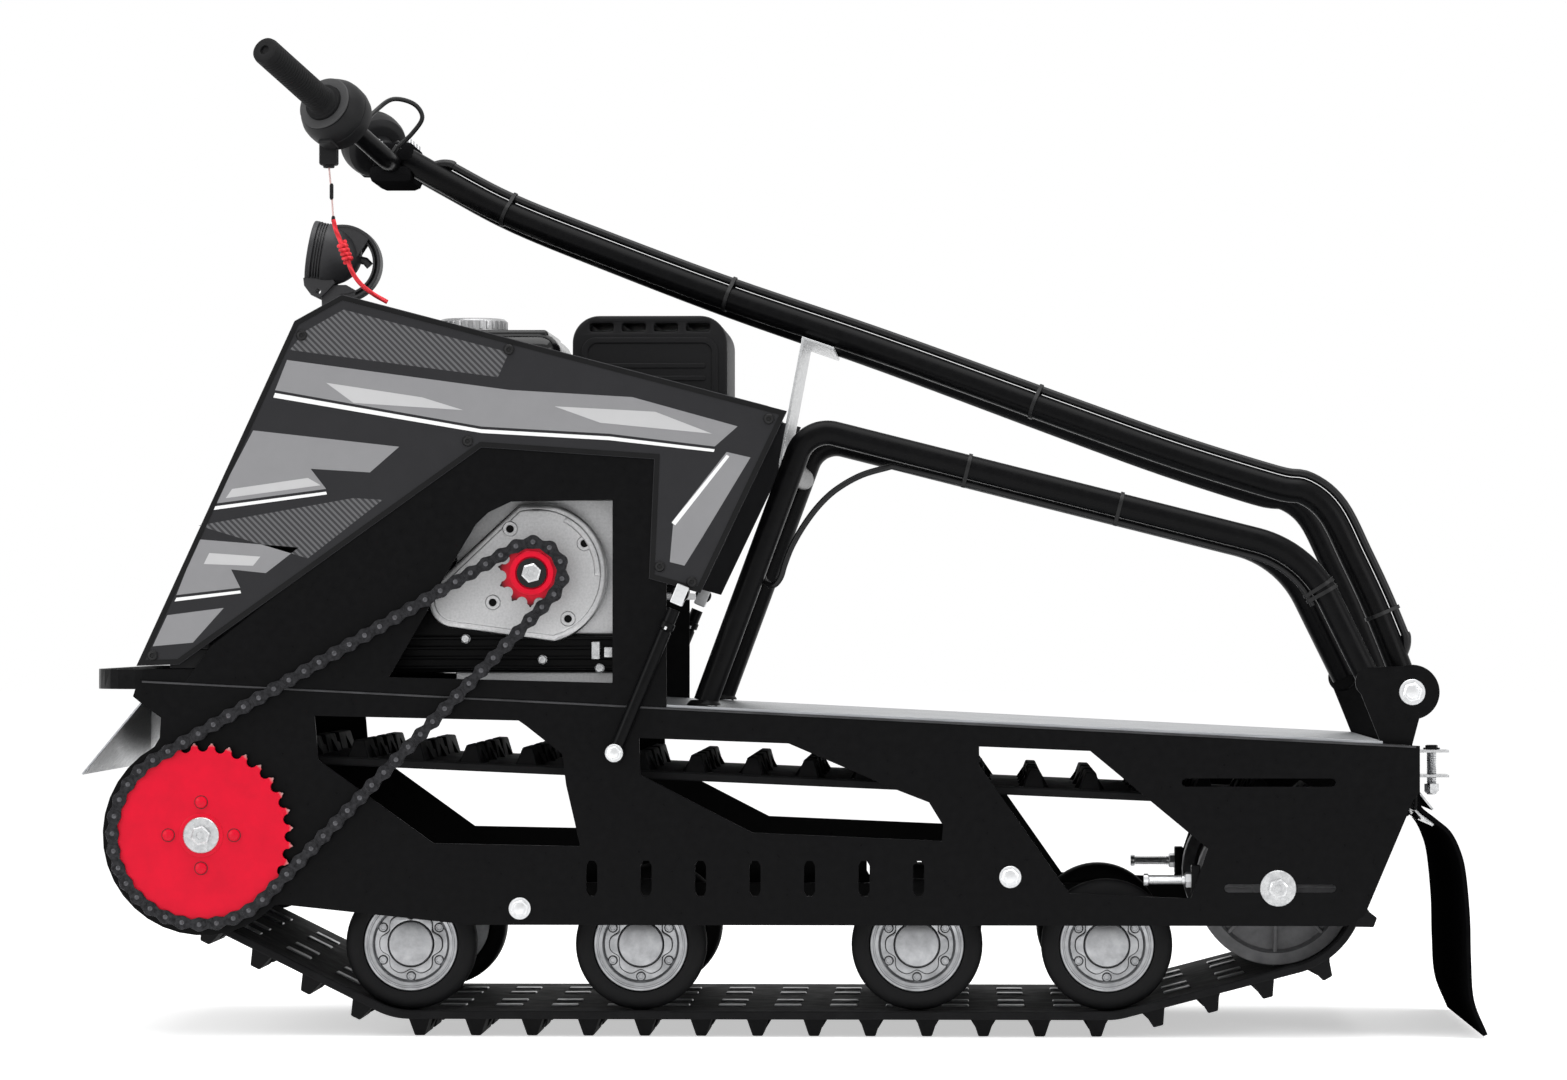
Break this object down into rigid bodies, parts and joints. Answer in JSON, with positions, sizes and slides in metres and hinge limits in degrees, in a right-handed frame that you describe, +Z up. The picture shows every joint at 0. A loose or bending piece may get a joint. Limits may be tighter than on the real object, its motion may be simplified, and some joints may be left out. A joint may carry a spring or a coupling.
{
  "type": "motorized snow tow",
  "caption": "Walk-behind tracked snow tow: wide rubber track between windowed side plates, open engine under a hollow cowl, chain drive and a folding handle.",
  "frame": {"origin": "on the ground, in the middle of the machine's bounding box", "axes": "+X to the rear where the sled is hitched, -Y to the left side with the chain, +Z up"},
  "size_m": [1.5364, 0.7004, 1.0899],
  "materials": {
    "black_paint": "satin black powder coat",
    "black_plastic": "matt black moulding",
    "black_rubber": "moulded rubber",
    "bare_aluminium": "bare rolled sheet",
    "zinc_steel": "bright zinc plating",
    "chain_steel": "oiled dark steel",
    "red_paint": "gloss red powder coat",
    "red_cord": "braided cord",
    "cowl_grey": "dark grey moulding with grey bands",
    "lamp_glass": "clear moulded lens"
  },
  "bodies": {
    "chassis": {"brace_left": "black_paint", "brace_right": "black_paint", "cowl_panel_left": "cowl_grey", "cowl_panel_right": "cowl_grey", "cowl_shell": "cowl_grey", "deck_plate": "bare_aluminium", "drive_axle": "zinc_steel", "drive_chain": "chain_steel", "driven_sprocket": "red_paint", "engine_block": "black_paint", "engine_cover": "bare_aluminium", "engine_sprocket": "red_paint", "flap": "black_rubber", "frame_cable": "black_rubber", "front_bumper": "black_paint", "fuel_cap": "black_plastic", "fuel_tank": "black_plastic", "headlamp_housing": "black_plastic", "headlamp_lens": "lamp_glass", "hitch_bracket": "zinc_steel", "hitch_pin": "zinc_steel", "inner_panel_left": "black_paint", "inner_panel_right": "black_paint", "loop_frame": "black_paint", "muffler_guard": "black_paint", "output_shaft": "zinc_steel", "pivot_bolt_left": "zinc_steel", "pivot_bolt_right": "zinc_steel", "rear_axle": "zinc_steel", "rear_crossmember": "black_paint", "recoil_starter": "black_plastic", "road_axle_1": "zinc_steel", "road_axle_2": "zinc_steel", "road_axle_3": "zinc_steel", "road_axle_4": "zinc_steel", "side_plate_left": "black_paint", "side_plate_right": "black_paint", "snow_deflector": "bare_aluminium", "stem_rest": "zinc_steel", "suspension_rail_left": "black_paint", "suspension_rail_right": "black_paint", "suspension_shaft_front": "zinc_steel", "suspension_shaft_rear": "zinc_steel", "track": "black_rubber", "tyre_1_left": "black_rubber", "tyre_1_right": "black_rubber", "tyre_2_left": "black_rubber", "tyre_2_right": "black_rubber", "tyre_3_left": "black_rubber", "tyre_3_right": "black_rubber", "tyre_4_left": "black_rubber", "tyre_4_right": "black_rubber"},
    "handle": {"stem": "black_paint", "handlebar": "black_paint", "grip_left": "black_rubber", "grip_right": "black_rubber", "control_housing_left": "black_plastic", "control_housing_right": "black_plastic", "stem_cable": "black_rubber", "lanyard": "red_cord"}
  },
  "joints": [
    {"name": "handle_fold", "type": "hinge", "parent": "chassis", "child": "handle", "pos_m": [0.686, 0, 0.378], "axis": [0, 1, 0], "range_deg": [0, 115]}
  ]
}
